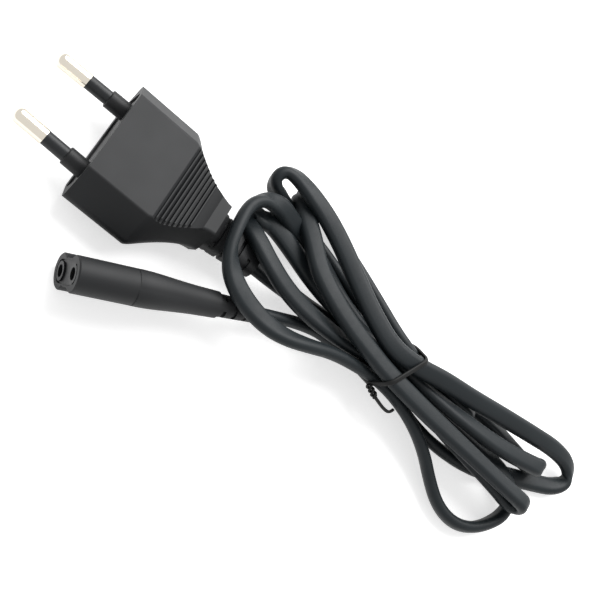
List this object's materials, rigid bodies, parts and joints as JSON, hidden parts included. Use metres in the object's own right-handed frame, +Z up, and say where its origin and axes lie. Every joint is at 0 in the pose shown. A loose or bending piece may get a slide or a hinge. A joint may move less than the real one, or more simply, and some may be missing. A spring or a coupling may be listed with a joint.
{
  "type": "power cord",
  "caption": "Mains lead with a flat moulded two-pin plug, a folded hank of flat twin cord held by a wire tie, and a figure-of-eight appliance connector.",
  "frame": {"origin": "on the surface that it lies on, under the middle of the full-width part of the plug", "axes": "+X to the right and +Y from the pins back towards the cord, +Z up"},
  "size_m": [0.0675, 0.179, 0.017],
  "materials": {
    "sheath_pvc": "satin",
    "moulding_pvc": "satin",
    "carrier_plastic": "satin",
    "nickel_pin": "polished",
    "sleeve_plastic": "satin",
    "contact_brass": "satin",
    "copper_strand": "satin",
    "core_brown": "satin",
    "core_blue": "satin",
    "tie_plastic": "satin"
  },
  "bodies": {
    "root": {"plug_body": "moulding_pvc", "plug_pin_carrier": "carrier_plastic", "plug_pin_left": "nickel_pin", "plug_pin_right": "nickel_pin", "plug_pin_sleeve_left": "sleeve_plastic", "plug_pin_sleeve_right": "sleeve_plastic", "plug_conductor_left": "copper_strand", "plug_conductor_right": "copper_strand", "plug_core_left": "core_blue", "plug_core_right": "core_brown", "connector_body": "moulding_pvc", "connector_insert": "carrier_plastic", "connector_contact_lower": "contact_brass", "connector_contact_upper": "contact_brass", "connector_conductor_lower": "copper_strand", "connector_conductor_upper": "copper_strand", "connector_core_lower": "core_blue", "connector_core_upper": "core_brown", "cord_plug_end": "sheath_pvc", "cord_hank": "sheath_pvc", "cord_connector_end": "sheath_pvc", "twist_tie": "tie_plastic"}
  },
  "joints": []
}
